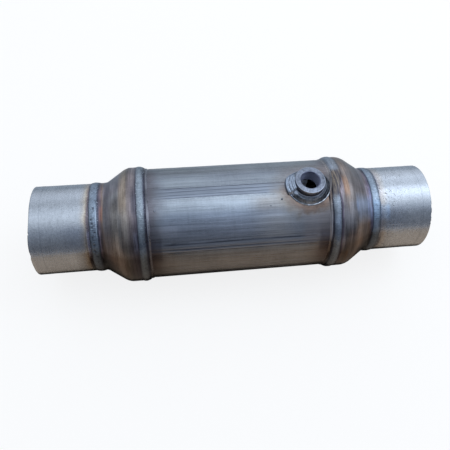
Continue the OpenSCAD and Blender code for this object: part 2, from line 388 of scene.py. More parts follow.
def apply_modifiers(obj):
    graph = bpy.context.evaluated_depsgraph_get()
    mesh = bpy.data.meshes.new_from_object(obj.evaluated_get(graph))
    obj.modifiers.clear()
    obj.data = mesh


def turned_z(name, outline, n_turn, move=None, sharp=35):
    """Revolves a closed outline of (radius, height) about the bung's axis."""
    radius, height, turn = grid(outline, np.arange(n_turn) * TAU / n_turn)
    if move:
        radius, height = move(radius, height, turn)
    return make_object(name, about_bung(radius, height, turn), torus_faces(len(outline), n_turn), sharp)


def bung(name):
    edge, lead = 0.6, 0.05
    face = [(BUNG_R, BUNG_FACE - edge), (BUNG_R - 0.15, BUNG_FACE - 0.15), (BUNG_R - edge, BUNG_FACE)]
    face += resample([(BUNG_R - edge, BUNG_FACE), (THREAD_MAJOR + lead, BUNG_FACE)], 0.5)[1:]
    thread_top = BUNG_FACE - 0.6
    bore = resample([(THREAD_MINOR, thread_top), (THREAD_MINOR, BUNG_FOOT + 0.4)], 0.13)
    foot = [(THREAD_MINOR + 0.4, BUNG_FOOT), (BUNG_R, BUNG_FOOT)]
    wall = resample([(BUNG_R, BUNG_FOOT), (BUNG_R, BUNG_FACE - edge)], 1.0)[1:-1]
    outline = face + bore + foot + wall

    def move(radius, height, turn):
        in_bore = radius < THREAD_MINOR + 0.01
        phase = (height / THREAD_PITCH + turn / TAU) % 1
        groove = np.clip(1.6 - np.abs(phase - 0.5) * 4.0, 0, 1)
        start = smooth((thread_top - height) / 0.8 + 0.3)
        radius = radius + in_bore * (THREAD_MAJOR - THREAD_MINOR) * groove * start
        turning = 0.02 * np.sin(radius * 21) * (np.abs(height - BUNG_FACE) < 0.01)
        return radius, height - np.abs(turning)

    return turned_z(name, outline, 160, move, 40)


def bung_bead(name):
    """The weld round the bung, laid in passes on the body, with a lump where it starts and ends."""
    n_turn, n_face, n_under = 360, 60, 6
    turn = np.arange(n_turn) * TAU / n_turn
    v = turn / TAU
    from_lump = (turn - math.radians(172) + math.pi) % TAU - math.pi
    lump = smooth((from_lump + 0.80) / 0.6) * smooth((0.60 - from_lump) / 0.12)
    wander = 0.16 * round_noise(turn, 26, 31) + 0.10 * round_noise(turn, 70, 32)
    toe_r = FILLET_R + FILLET_STRETCH * np.cos(turn) ** 2 + 1.3 * lump + wander
    rows = []

    def ground(rho):
        return np.sqrt(BODY_R ** 2 - (rho * np.sin(turn)) ** 2)

    wall_top = 54.6 + 0.25 * round_noise(turn, 30, 33)
    wall_rise = wall_top - ground(BUNG_R + 0 * turn)
    for k in range(n_face + 1):
        t = k / n_face
        rho = toe_r + (BUNG_R - toe_r) * t
        rise = (1 - (1 - max(0, t - SHELF) / (1 - SHELF)) ** 2.0) ** 0.9
        shelf = 0.70 * float(band(t, 0.02, SHELF - 0.01, 0.04))
        hump = math.sin(math.pi * min(1, t * 1.08)) if t < 0.92 else 0
        passes = 0.17 * np.sin(TAU * (2.6 * t + 0.5 * round_noise(turn, 9, 36) - 0.1))
        waves = 0.09 * np.sin(TAU * (64 * v + 0.6 * round_noise(turn, 30, 34) - 0.9 * t))
        uneven = 0.28 * lattice_noise(0 * v + t, v, 6, 60, 35)
        rope = 0.20 * np.sin(TAU * (3.1 * t + 0.35 * round_noise(turn, 16, 37)))
        height = ground(rho) + wall_rise * rise + shelf + hump * passes
        piled = ground(rho) + 2.5 * (1 - (1 - min(1, t / 0.13)) ** 2) ** 0.6 + 3.7 * t + hump * rope
        rows.append((rho, height + (piled - height) * lump + hump * (waves + uneven)))
    for k in range(1, n_under + 1):
        t = k / (n_under + 1)
        rho = BUNG_R + (toe_r - BUNG_R) * t
        rows.append((rho, ground(rho)))
    verts = np.stack([about_bung(rho, z, turn) for rho, z in rows])
    return make_object(name, verts, torus_faces(len(rows), n_turn), 50)


def honeycomb(name, start):
    """A brick of fine square cells, each one open from face to face."""
    pitch, wall = 1.8, 0.22
    n = int(BRICK_R / pitch) + 1
    half = (pitch - wall) / 2
    rim = BRICK_R - 0.5
    bm = bmesh.new()
    cells = [(i, j) for i in range(-n, n + 1) for j in range(-n, n + 1)
             if math.hypot(abs(i) * pitch + half, abs(j) * pitch + half) < rim]
    ends = (start, start + BRICK_LEN)
    corner = {}

    def vert(x, y, z):
        key = (round(x, 3), round(y, 3), round(z, 3))
        if key not in corner:
            corner[key] = bm.verts.new((x, y, z))
        return corner[key]

    def square(x, y, z):
        bm.faces.new([vert(x, y[i], z[j]) for i, j in ((0, 0), (1, 0), (1, 1), (0, 1))])

    def join(a, b, n):
        for k in range(n):
            m = (k + 1) % n
            bm.faces.new((a[k], a[m], b[m], b[k]))

    # The walls of the cells, and then the ends of the webs between them
    inside = set(cells)
    signs = [(-1, -1), (1, -1), (1, 1), (-1, 1)]
    for i, j in cells:
        join(*([vert(x, i * pitch + s * half, j * pitch + t * half) for s, t in signs] for x in ends), 4)
    for x in ends:
        for i, j in cells:
            y, z = i * pitch, j * pitch
            cell_y, cell_z = (y - half, y + half), (z - half, z + half)
            web_y, web_z = (y + half, y + pitch - half), (z + half, z + pitch - half)
            if (i + 1, j) in inside:
                square(x, web_y, cell_z)
            if (i, j + 1) in inside:
                square(x, cell_y, web_z)
            if {(i + 1, j), (i, j + 1), (i + 1, j + 1)} <= inside:
                square(x, web_y, web_z)
    # The skin: a ring between the outermost webs and the round outside, at both faces
    turn_n = 180
    circles = []
    for x in ends:
        loose = [edge for edge in bm.edges
                 if len(edge.link_faces) == 1 and all(abs(v.co.x - x) < 1e-6 for v in edge.verts)]
        angles = [TAU * k / turn_n for k in range(turn_n)]
        circle = [bm.verts.new((x, BRICK_R * math.sin(a), BRICK_R * math.cos(a))) for a in angles]
        ring = [bm.edges.new((circle[k], circle[(k + 1) % turn_n])) for k in range(turn_n)]
        bmesh.ops.triangle_fill(bm, edges=loose + ring, use_beauty=False)
        circles.append(circle)
    join(*circles, turn_n)
    bmesh.ops.recalc_face_normals(bm, faces=bm.faces)
    bmesh.ops.scale(bm, vec=(MM, MM, MM), verts=bm.verts)
    mesh = bpy.data.meshes.new(name)
    bm.to_mesh(mesh)
    bm.free()
    mesh.set_sharp_from_angle(angle=math.radians(35))
    return link_object(name, mesh)


def wrap_piece(name, start, length, rough, split, n_turn, step, seed):
    """A soft ring between a brick and the body, open at its split underneath."""
    outer = resample([(start, BODY_IN_R), (start + length, BODY_IN_R)], step)
    inner = resample([(start + length, BRICK_R), (start, BRICK_R)], step)
    n_line, n_outer = len(outer + inner), len(outer)
    across, radius, t = grid(outer + inner, np.linspace(0, 1, n_turn))
    u = (across - start) / length
    turn = math.pi + split(u) / BODY_IN_R + t * (TAU - 0.5 / BODY_IN_R)
    felt = rough * (lattice_noise(u, turn / TAU, max(2, int(length / 1.5)), 200, seed) - 1)
    radius = radius + felt * (radius > (BODY_IN_R + BRICK_R) / 2)
    faces = []
    for i in range(n_line):
        k = (i + 1) % n_line
        for j in range(n_turn - 1):
            faces.append([i * n_turn + j, k * n_turn + j, k * n_turn + j + 1, i * n_turn + j + 1])
    for i in range(n_outer - 1):
        k, m, p = i + 1, n_line - 1 - i, n_line - 2 - i
        faces.append([i * n_turn, k * n_turn, p * n_turn, m * n_turn])
        last = n_turn - 1
        faces.append([i * n_turn + last, m * n_turn + last, p * n_turn + last, k * n_turn + last])
    return make_object(name, about_x(across, radius, turn), faces, 50)


def tongue(u):
    """Where the mat's split runs, in millimetres round the underside."""
    return -14.0 * ((u > 0.335) & (u < 0.665))


def straight(u):
    return 0.0 * u


# Drops of weld metal on the body: place, angle and size
DROPS = [(-74.4, 17.1, 0.8), (36.98, 12.8, 1.0), (26.54, 18.8, 0.6)]


def spatter(name, spots):
    verts, faces = [], []
    n_ring, n_turn = 5, 12
    for place, degrees, size in spots:
        angle = math.radians(degrees)
        r = float(body_surface(np.array([place]), np.array([angle % TAU]))[0])
        centre = np.array([MID + place, -r * math.sin(angle), r * math.cos(angle)])
        up = np.array([0, -math.sin(angle), math.cos(angle)])
        along = np.array([1.0, 0, 0])
        across = np.cross(up, along)
        base = len(verts)
        verts.append(centre + up * size * 0.75)
        for i in range(1, n_ring + 1):
            tilt = math.radians(115) * i / n_ring
            for j in range(n_turn):
                a = TAU * j / n_turn
                out = along * math.cos(a) + across * math.sin(a)
                verts.append(centre + size * (out * math.sin(tilt) + up * 0.75 * math.cos(tilt)))
        for j in range(n_turn):
            k = (j + 1) % n_turn
            faces.append([base, base + 1 + j, base + 1 + k])
            for i in range(n_ring - 1):
                a, b = base + 1 + i * n_turn, base + 1 + (i + 1) * n_turn
                faces.append([a + j, b + j, b + k, a + k])
        faces.append([base + 1 + (n_ring - 1) * n_turn + j for j in range(n_turn)][::-1])
    return make_object(name, verts, faces, 60)


# Small craters in the beads: distance from the middle, angle, size and depth
SHELL_SPOTS_IN = [(87.3, 13.8, 0.5, 0.16), (88.1, 17, 0.4, 0.14), (86.1, 85.5, 0.6, 0.2),
                  (86.8, 52, 0.35, 0.12)]
SHELL_SPOTS_OUT = [(86.6, 60, 0.4, 0.14), (87.2, 20, 0.4, 0.12)]
NECK_SPOTS_IN = [
    (127.1, 4.7, 0.9, 0.3), (129.1, 19.6, 0.7, 0.35), (128.3, 24.9, 0.8, 0.4), (128.5, 29.6, 0.7, 0.4),
    (126.6, 35.6, 0.8, 0.35), (128.9, 41.2, 0.7, 0.35), (128, 50.9, 0.9, 0.4), (128.4, 58.1, 0.9, 0.4),
    (126.6, 67.5, 0.9, 0.35), (126.9, 77, 0.7, 0.3), (125.5, -5.1, 0.7, 0.25), (126.8, -28.9, 0.7, 0.25),
    (127.6, -100, 0.8, 0.3), (126.4, 150, 0.8, 0.3), (128.2, -150, 0.7, 0.3)]
NECK_SPOTS_OUT = [(127.3, -9.4, 0.7, 0.3), (127.9, -5.6, 0.6, 0.25), (125.6, 35.3, 0.6, 0.2),
                  (126.5, 6.5, 0.5, 0.15)]


# Shader helpers

NOISE_LO, NOISE_HI = 0.3, 0.7
RAD_TO_DEG = 57.29578


class Shader:
    """A node material, written as expressions. Values are numbers, colours or sockets.

    colour is the running colour, which paint and shade change where all of their masks hold.
    q is the distance from the middle that tints and patches go by, in millimetres.
    Angles about the axis are in degrees, from +Z towards -Y.
    """

    def __init__(self, name):
        self.material = bpy.data.materials.new(name)
        self.material.use_nodes = True
        self.tree = self.material.node_tree
        self.tree.nodes.clear()
        self.out = self.tree.nodes.new("ShaderNodeOutputMaterial")
        self.point = self.add("ShaderNodeTexCoord").outputs["Object"]
        self.x, self.y, self.z = self.add("ShaderNodeSeparateXYZ", Vector=self.point).outputs
        self.colour = None

    def add(self, kind, props=None, **inputs):
        node = self.tree.nodes.new(kind)
        for key, value in (props or {}).items():
            setattr(node, key, value)
        for key, value in inputs.items():
            self.feed(node.inputs[key.replace("_", " ")], value)
        return node

    def feed(self, socket, value):
        if isinstance(value, bpy.types.NodeSocket):
            self.tree.links.new(value, socket)
        elif socket.type == "RGBA":
            colour = value if isinstance(value, tuple) else (value,) * 3
            socket.default_value = (*colour, 1)
        else:
            socket.default_value = value

    def math(self, kind, *values):
        node = self.add("ShaderNodeMath", {"operation": kind})
        for socket, value in zip(node.inputs, (*values, 0, 0)):
            self.feed(socket, value)
        return node.outputs[0]

    def plus(self, *values):
        return reduce(lambda a, b: self.math("ADD", a, b), values)

    def times(self, *values):
        return reduce(lambda a, b: self.math("MULTIPLY", a, b), values)

    def minus(self, a, b):
        return self.math("SUBTRACT", a, b)

    def length(self, a, b):
        return self.math("SQRT", self.plus(self.times(a, a), self.times(b, b)))

    def spread(self, value, lo, hi, to_lo=0, to_hi=1, kind="SMOOTHSTEP"):
        """Maps value from lo..hi to to_lo..to_hi."""
        return self.add("ShaderNodeMapRange", {"interpolation_type": kind}, Value=value, From_Min=lo,
                        From_Max=hi, To_Min=to_lo, To_Max=to_hi).outputs[0]

    def swing(self, noise, lo, hi):
        """Maps the range where most of a noise lies to lo..hi."""
        return self.spread(noise, NOISE_LO, NOISE_HI, lo, hi, "LINEAR")

    def hump(self, value, centre, width):
        """1 at the centre, and 0 from width away."""
        return self.spread(self.math("ABSOLUTE", self.minus(value, centre)), 0, width, 1, 0)

    def near(self, value, lo, hi, edge):
        """1 between two values, falling to 0 over edge."""
        return self.times(self.spread(value, lo - edge, lo), self.spread(value, hi + edge, hi))

    def at_place(self, lo, hi, edge):
        return self.near(self.q, lo, hi, edge)

    def at_angle(self, centre, half, edge, angle=None):
        """1 within half of an angle about the axis, falling to 0 over edge."""
        away = self.math("ABSOLUTE", self.math("WRAP", self.minus(angle or self.angle, centre), 180, -180))
        return self.spread(away, half + edge / 2, half - edge / 2)

    def mix(self, share, a, b, kind="MIX"):
        node = self.add("ShaderNodeMix", {"data_type": "RGBA", "blend_type": kind})
        for socket, value in ((0, share), (6, a), (7, b)):
            self.feed(node.inputs[socket], value)
        return node.outputs[2]

    def by_side(self, inlet, outlet):
        """One number or colour at the inlet's end and another at the outlet's."""
        if isinstance(inlet, tuple):
            return self.mix(self.right, inlet, outlet)
        return self.spread(self.right, 0, 1, inlet, outlet, "LINEAR")

    def ramp(self, value, stops):
        """A colour ramp. A stop is its place, and then a colour or one number for a grey."""
        node = self.add("ShaderNodeValToRGB", Fac=value)
        elements = node.color_ramp.elements
        while len(elements) < len(stops):
            elements.new(0.5)
        for element, stop in zip(elements, stops):
            element.position = stop[0]
        for element, (_, *colour) in zip(elements, stops):
            element.color = (*(colour * 3)[:3], 1)
        return node.outputs[0]

    def along(self, value, stops):
        """A colour ramp whose stops are in the value's own units."""
        lo, hi = stops[0][0], stops[-1][0]
        share = self.spread(value, lo, hi, kind="LINEAR")
        return self.ramp(share, [((place - lo) / (hi - lo), *colour) for place, *colour in stops])

    def noise(self, scale, detail=3, rough=0.55, stretch=None, bend=0):
        vector = self.point
        if stretch:
            vector = self.add("ShaderNodeMapping", Vector=vector, Scale=stretch).outputs[0]
        return self.add("ShaderNodeTexNoise", Vector=vector, Scale=scale, Detail=detail, Roughness=rough,
                        Distortion=bend).outputs[0]

    def cells(self, scale):
        return self.add("ShaderNodeTexVoronoi", Vector=self.point, Scale=scale).outputs["Distance"]

    @cached_property
    def angle(self):
        """Angle about the part's axis."""
        return self.times(self.math("ARCTAN2", self.times(self.y, -1), self.z), RAD_TO_DEG)

    @cached_property
    def across(self):
        """Distance from the axis, in metres."""
        return self.length(self.y, self.z)

    @cached_property
    def upward(self):
        """Cosine of the angle about the axis: 1 on top, 0 at the sides and -1 underneath."""
        return self.math("DIVIDE", self.z, self.across)

    @cached_property
    def place(self):
        """Place along the axis from the middle of the body, in millimetres."""
        return self.minus(self.times(self.x, 1000), MID)

    @cached_property
    def from_middle(self):
        return self.math("ABSOLUTE", self.place)

    @cached_property
    def body_place(self):
        """Distance from the middle, less the crooked outlet end's shift."""
        shift = self.times(self.spread(self.angle, 14, -16, 0, CROOKED), self.spread(self.angle, -150, -90))
        return self.minus(self.from_middle, self.times(shift, self.right))

    @cached_property
    def q(self):
        return self.from_middle

    @cached_property
    def right(self):
        """1 on the outlet's half and 0 on the inlet's."""
        return self.math("GREATER_THAN", self.place, 0)

    @cached_property
    def left(self):
        return self.minus(1, self.right)

    def dimmed(self, colour, share):
        node = self.add("ShaderNodeVectorMath", {"operation": "SCALE"})
        self.feed(node.inputs[0], colour)
        self.feed(node.inputs["Scale"], share)
        return node.outputs[0]

    def toned(self, colour, *parts):
        """The colour made lighter and darker by noises. A part is (noise, change)."""
        tone = 1
        for noise, change in parts:
            tone = self.plus(tone, self.swing(noise, -change, change))
        return self.dimmed(colour, tone)

    def tint(self, q, inlet, outlet):
        """Colour along the axis, with its own stops at each end of the part."""
        return self.mix(self.right, self.along(q, inlet), self.along(q, outlet))

    def underside(self, q, stops):
        """How much of its brightness a place keeps under the painted shade of its underside, as (distance,
        share).
        """
        return self.mix(self.spread(self.upward, 0.66, 0.40), 1, self.along(q, stops))

    def shaded_edge(self, lo, hi, higher=0):
        """The lowest strip of a surface, black with painted shade. It fades out between the places lo and hi.
        """
        share = self.spread(self.minus(self.upward, higher), -0.06, -0.24, 1, 0.15)
        return self.mix(self.spread(self.from_middle, lo, hi, 1, 0.3), 1, share)

    def paint(self, colour, *masks, kind="MIX"):
        """Lays a colour over the running one. A mask is a value from 0 to 1."""
        self.colour = self.mix(self.times(*masks) if masks else 1, self.colour, colour, kind)

    def shade(self, colour, *masks):
        """Multiplies the running colour."""
        self.paint(colour, *masks, kind="MULTIPLY")

    def dim(self, share):
        self.colour = self.dimmed(self.colour, share)

    def bump(self, height, strength, distance_mm, normal=None):
        node = self.add("ShaderNodeBump", Height=height, Strength=strength, Distance=distance_mm * MM)
        if normal:
            self.feed(node.inputs["Normal"], normal)
        return node.outputs[0]

    def surface(self, node):
        self.tree.links.new(node.outputs[0], self.out.inputs["Surface"])
        return self.material

    def finish(self, roughness, metallic, normal):
        return self.surface(self.add("ShaderNodeBsdfPrincipled", Base_Color=self.colour, Roughness=roughness,
                                     Metallic=metallic, Normal=normal))


# Materials

PIPE_STEEL = (0.475, 0.50, 0.54)
# Heat colours, from the black scale at a weld's toe outwards
SCALE = (0.05, 0.05, 0.07)
PLUM = (0.14, 0.12, 0.155)
UMBER = (0.23, 0.195, 0.19)
COPPER = (0.38, 0.285, 0.245)
STRAW = (0.38, 0.335, 0.30)


def pipe_steel():
    s = Shader("satin_steel")
    q = s.q
    grain = s.noise(850, 3, 0.6)
    coarse = s.noise(430, 2, 0.5)
    blotch = s.noise(90, 4, 0.6)
    rings = s.noise(1400, 3, 0.6, (1, 0.03, 0.03))
    s.colour = s.toned(PIPE_STEEL, (grain, 0.13), (coarse, 0.06), (blotch, 0.06), (rings, 0.07))
    # Heat from the weld
    lean = s.times(s.spread(s.angle, -20, 16, 0.6, -0.6), s.by_side(1, -0.7))
    edge = s.plus(q, s.swing(s.noise(120), -0.8, 0.8), lean)
    heat = s.tint(edge, [(131, 0.15, 0.13, 0.15), (132.2, 0.20, 0.17, 0.185), (133.4, 0.40, 0.335, 0.285),
                         (134.8, 0.57, 0.52, 0.455), (136.6, 0.50, 0.49, 0.49), (141, *PIPE_STEEL)],
                  [(131, 0.20, 0.20, 0.24), (131.8, 0.38, 0.37, 0.39), (133.5, 0.47, 0.44, 0.43),
                   (136, 0.50, 0.49, 0.49), (141, *PIPE_STEEL)])
    s.paint(s.toned(heat, (grain, 0.14), (coarse, 0.08)), s.spread(edge, 141, 136))
    # Painted shade underneath, darkest near the weld and along the lowest strip
    painted_shade_stops = [(131, 0.18, 0.16, 0.15), (134, 0.34, 0.30, 0.27), (137, 0.58, 0.54, 0.50), (146, 1)]
    s.shade(s.underside(edge, painted_shade_stops), s.by_side(1, 0.55))
    s.shade(s.shaded_edge(132, 150))
    s.shade(0.35, s.spread(s.upward, -0.10, -0.22), s.spread(q, 146, 134))
    # A pitted skin, worst near the outlet's weld
    pitted = s.times(s.spread(q, 172, 138, 0.15, 1), s.by_side(0.35, 1))
    pit = s.spread(s.noise(640, 2, 0.5), 0.60, 0.70)
    fleck = s.spread(s.noise(760, 2, 0.5, (1, 1.3, 1.3)), 0.62, 0.70)
    s.paint((0.13, 0.13, 0.14), pit, pitted, 0.75)
    s.paint((0.80, 0.83, 0.86), fleck, pitted, 0.6)
    # Painted shade in front near the weld. Right at its toe: paler in front and behind at the inlet, and
    # painted shade low down that is browner at the inlet. Blued in front at the outlet
    s.shade((0.82, 0.83, 0.87), s.at_angle(42, 14, 14), s.spread(q, 162, 142))
    foot = s.at_place(131, 133.4, 0.6)
    s.shade((2.1, 2.3, 2.5), s.at_angle(51, 17, 8), s.left, foot)
    s.shade(s.by_side((0.42, 0.38, 0.36), (0.52, 0.54, 0.57)), s.spread(s.upward, 0.48, 0.28), foot)
    s.shade((1.4, 1.42, 1.5), s.spread(s.angle, -30, -38), s.left, foot)
    s.shade((1.15, 1.32, 1.50), s.at_angle(34, 9, 9), s.right, s.at_place(131, 138, 3))
    # A scratch on each pipe
    s.paint((0.22, 0.23, 0.26), s.at_angle(-36, 0.5, 0.8), s.near(s.place, -152, -142, 2), 0.5)
    s.paint((0.85, 0.85, 0.88), s.at_angle(52, 0.4, 0.6), s.near(s.place, 139, 152, 4), 0.5)
    # The inside is plainer and duller
    inside = s.spread(s.across, (BORE_R + 1.3) * MM, (BORE_R + 0.7) * MM)
    inner = s.times(inside, s.spread(q, HALF_LEN - 0.6, HALF_LEN - 1.4))
    s.paint(s.toned((0.66, 0.68, 0.71), (grain, 0.08), (blotch, 0.10)), inner)
    # The edge of the sized mouth is a faint line, and the lip is worn
    mouth = s.minus(HALF_LEN, q)
    s.paint((0.30, 0.32, 0.36), s.hump(mouth, 8.5, 0.8), 0.45)
    s.paint((0.60, 0.63, 0.67), s.spread(mouth, 0.2, 0.9, 0.6, 0))
    rough = s.plus(s.swing(blotch, 0.21, 0.30), s.swing(grain, -0.03, 0.06), s.times(inner, 0.35))
    fine = s.bump(s.plus(grain, s.times(rings, 0.6)), 0.55, 0.07)
    rough_skin = s.bump(s.plus(s.times(pit, pitted, -1.2), coarse), 0.45, 0.12, fine)
    return s.finish(rough, 1, s.bump(s.noise(60, 2), 0.25, 0.35, rough_skin))


def from_bung(s):
    """Distances from the bung's axis along X, along Y and straight, in millimetres."""
    dx = s.minus(s.times(s.x, 1000), BUNG_X)
    dy = s.times(s.y, 1000)
    return dx, dy, s.length(dx, dy)


def body_steel():
    s = Shader("drawn_steel")
    q = s.q = s.body_place
    streak = s.noise(1100, 4, 0.65, (0.02, 1, 1))
    wide = s.noise(260, 4, 0.6, (0.03, 1, 1))
    grain = s.noise(1500, 2, 0.5, (0.35, 1, 1))
    blotch = s.noise(55, 4, 0.6)
    chatter = s.noise(900, 2, 0.5, (1, 0.04, 0.04))
    # Each die left its own stretch of the tube a little brighter or duller; this ramp also holds a painted
    # highlight just in front of the top ridge and painted shade low in front
    dies = s.along(s.angle, [
        (-180, 0.27, 0.29, 0.32), (-125, 0.30, 0.32, 0.35), (-70, 0.30, 0.32, 0.35), (-40, 0.33, 0.345, 0.36),
        (-23, 0.22, 0.24, 0.275), (-11, 0.30, 0.325, 0.36), (4.8, 0.29, 0.32, 0.37), (6.6, 0.41, 0.445, 0.49),
        (14, 0.37, 0.41, 0.46), (24, 0.28, 0.32, 0.39), (34, 0.32, 0.35, 0.415), (46, 0.32, 0.345, 0.405),
        (51, 0.26, 0.28, 0.32), (60, 0.20, 0.215, 0.24), (76, 0.26, 0.255, 0.26), (120, 0.25, 0.255, 0.275),
        (180, 0.27, 0.29, 0.32)])
    s.colour = s.toned(dies, (streak, 0.20), (wide, 0.15), (grain, 0.08), (blotch, 0.09), (chatter, 0.05))
    s.dim(s.spread(s.place, -75, -5, 0.82, 1))
    # Two paler patches, one behind the top ridge at the inlet end and one in front of the bung, which is a
    # painted highlight
    paler_patch = s.times(s.at_angle(-16, 8, 9), s.spread(s.place, -15, -42), 0.55)
    s.paint(s.toned((0.35, 0.385, 0.42), (streak, 0.2), (wide, 0.2)), paler_patch)
    paler_patch = s.times(s.at_angle(43, 15, 12), s.hump(s.place, 32, 30), 0.75)
    s.paint(s.toned((0.44, 0.435, 0.44), (streak, 0.2), (wide, 0.2)), paler_patch)
    # Straw in front of the bung, and a painted dark reflection low in front at the inlet end
    s.shade((0.86, 0.77, 0.70), s.at_angle(17, 8, 9), s.near(s.place, 22, 45, 20))
    s.dim(s.minus(1, s.times(s.at_angle(56, 6, 6), s.spread(s.place, -35, -66, 0, 0.45))))
    # The low ridges between the dies stay dull, and the grooves at them are dark
    frayed = s.plus(s.angle, s.swing(s.noise(420, 2, 0.5, (0.35, 1, 1)), -0.8, 0.8))
    ridge = 0
    for centre, half in RIDGES:
        ridge = s.math("MAXIMUM", ridge, s.at_angle(centre, half, 0.8, frayed))
    s.paint(s.toned((0.275, 0.305, 0.365), (streak, 0.25), (wide, 0.2)), ridge, 0.70)
    wavy = s.plus(s.angle, s.swing(s.noise(100, 2, 0.5, (0.03, 1, 1)), -0.15, 0.15))
    broken = s.spread(s.noise(330, 3, 0.6, (0.06, 1, 1)), 0.34, 0.52, 0.55, 1)
    for centre, half, depth in GROOVES:
        groove = s.at_angle(centre, half * 0.9, half * 0.9, wavy)
        s.paint((0.075, 0.08, 0.105), groove, broken, min(0.9, depth * 1.3))
    # Painted glints along the edge of the top ridge, and scratches
    glint_fleck = s.spread(s.noise(500, 2, stretch=(0.5, 1, 1)), 0.50, 0.58)
    s.paint((0.52, 0.56, 0.62), s.at_angle(6, 0.3, 0.6, frayed), glint_fleck, 0.35)
    s.paint((0.13, 0.14, 0.18), s.spread(s.noise(700, 1, 0.4, (0.012, 1, 1)), 0.70, 0.74, 0, 0.6))
    # Heat from the welds of the cones
    edge = s.plus(q, s.times(s.swing(s.noise(70), -3, 3), s.spread(q, 79, 74)))
    heat = s.tint(
        edge,
        [(60, 0.25, 0.27, 0.31), (70, 0.20, 0.21, 0.24), (76, 0.165, 0.16, 0.18), (79.4, 0.14, 0.13, 0.15),
         (80, 0.23, 0.23, 0.26), (81, 0.20, 0.195, 0.22), (81.7, *SCALE), (82.6, *SCALE)],
        [(60, 0.26, 0.265, 0.29), (70, 0.23, 0.225, 0.245), (76, 0.20, 0.18, 0.195), (79, 0.17, 0.15, 0.16),
         (79.6, 0.42, 0.39, 0.39), (80.6, 0.26, 0.24, 0.25), (81.1, *SCALE), (82.6, *SCALE)])
    s.paint(s.toned(heat, (streak, 0.16), (wide, 0.12), (blotch, 0.16)), s.spread(edge, 60, 76, 0, 0.95))
    # The outlet end is dulled by the heat of both its welds
    dull = s.times(s.at_angle(36, 20, 12), s.right, s.at_place(60, 78, 10))
    s.paint(s.toned((0.27, 0.255, 0.27), (streak, 0.16), (blotch, 0.12)), dull, 0.75)
    # The step at each end is dark behind, and has a painted highlight towards the front
    step = s.at_place(79.6, 81.2, 0.4)
    front = s.mix(s.right, s.at_angle(28, 11, 10), s.at_angle(43, 13, 12))
    s.paint(s.by_side((0.34, 0.335, 0.38), (0.48, 0.465, 0.50)), step, front, 0.8)
    # Painted shade in front, low down at both ends
    s.shade((0.66, 0.66, 0.70), s.at_angle(58, 12, 10), s.at_place(72, 78, 3))
    # The toe of the outlet's bead is hardly darkened at the back
    s.paint((0.22, 0.24, 0.275), s.right, s.spread(s.angle, -10, -20), s.spread(q, 80.6, 81.4), 0.7)
    # Painted shade underneath, deepest at the ends
    painted_shade_stops = [(55, 1), (66, 0.82, 0.76, 0.70), (74, 0.50, 0.42, 0.35), (82.6, 0.33, 0.27, 0.23)]
    s.shade(s.underside(q, painted_shade_stops))
    # Heat from the bung's weld: brown next to it, and greyer further out
    _, dy, away = from_bung(s)
    away = s.plus(away, s.swing(s.noise(75, 4, 0.65), -2.6, 2.6), s.swing(s.noise(300, 2, 0.5), -0.4, 0.4))
    halo = s.along(away, [(17.5, 0.12, 0.09, 0.085), (20, 0.235, 0.165, 0.13), (23, 0.215, 0.17, 0.15),
                          (27, 0.285, 0.255, 0.235), (33, 0.30, 0.29, 0.285), (42, 0.31, 0.33, 0.36)])
    reach = s.times(s.spread(away, 24, 40, 0.92, 0), s.spread(dy, 8, -6, 0.40, 1),
                    s.minus(1, s.times(s.spread(away, 23, 27), dull, 0.8)))
    halo = s.toned(halo, (streak, 0.16), (blotch, 0.16), (grain, 0.1))
    s.paint(halo, s.math("GREATER_THAN", s.z, 0), reach)
    # Painted shade between the bung and the outlet's bead
    between = s.times(s.at_angle(-3, 12, 10), s.right, s.spread(q, 64, 72))
    s.paint(s.toned((0.125, 0.12, 0.125), (streak, 0.3), (blotch, 0.3)), between, 0.85)
    s.shade((0.62, 0.60, 0.62), between, s.at_angle(1, 5, 8), s.at_place(70, 78, 2))
    # Painted shade on stretches of the steps, deepest low down at the outlet's, and lighter stretches low on
    # the inlet's step and beside it
    dark = s.mix(s.right, s.at_angle(0, 8, 8), s.at_angle(12, 5, 5))
    s.shade(s.by_side((0.7, 0.7, 0.7), (0.42, 0.44, 0.50)), step, dark)
    s.shade((0.30, 0.26, 0.26), s.right, step, s.at_angle(86, 12, 8))
    s.shade((1.25, 1.22, 1.2), s.left, s.at_angle(38, 5, 6), s.at_place(58, 70, 5))
    s.shade((1.45, 1.65, 1.9), s.left, s.at_angle(73, 12, 6), step)
    # The inside is plain pale steel
    inner = s.spread(s.across, (BODY_IN_R + 0.6) * MM, (BODY_IN_R + 0.2) * MM)
    s.paint((0.80, 0.84, 0.92), inner)
    rough = s.plus(s.swing(wide, 0.24, 0.34), s.swing(streak, -0.05, 0.05), s.times(ridge, 0.08),
                   s.times(dull, 0.16), s.times(inner, 0.6))
    fine = s.bump(s.plus(streak, s.times(grain, 0.4)), 0.5, 0.06)
    return s.finish(rough, 1, s.bump(wide, 0.35, 0.14, fine))


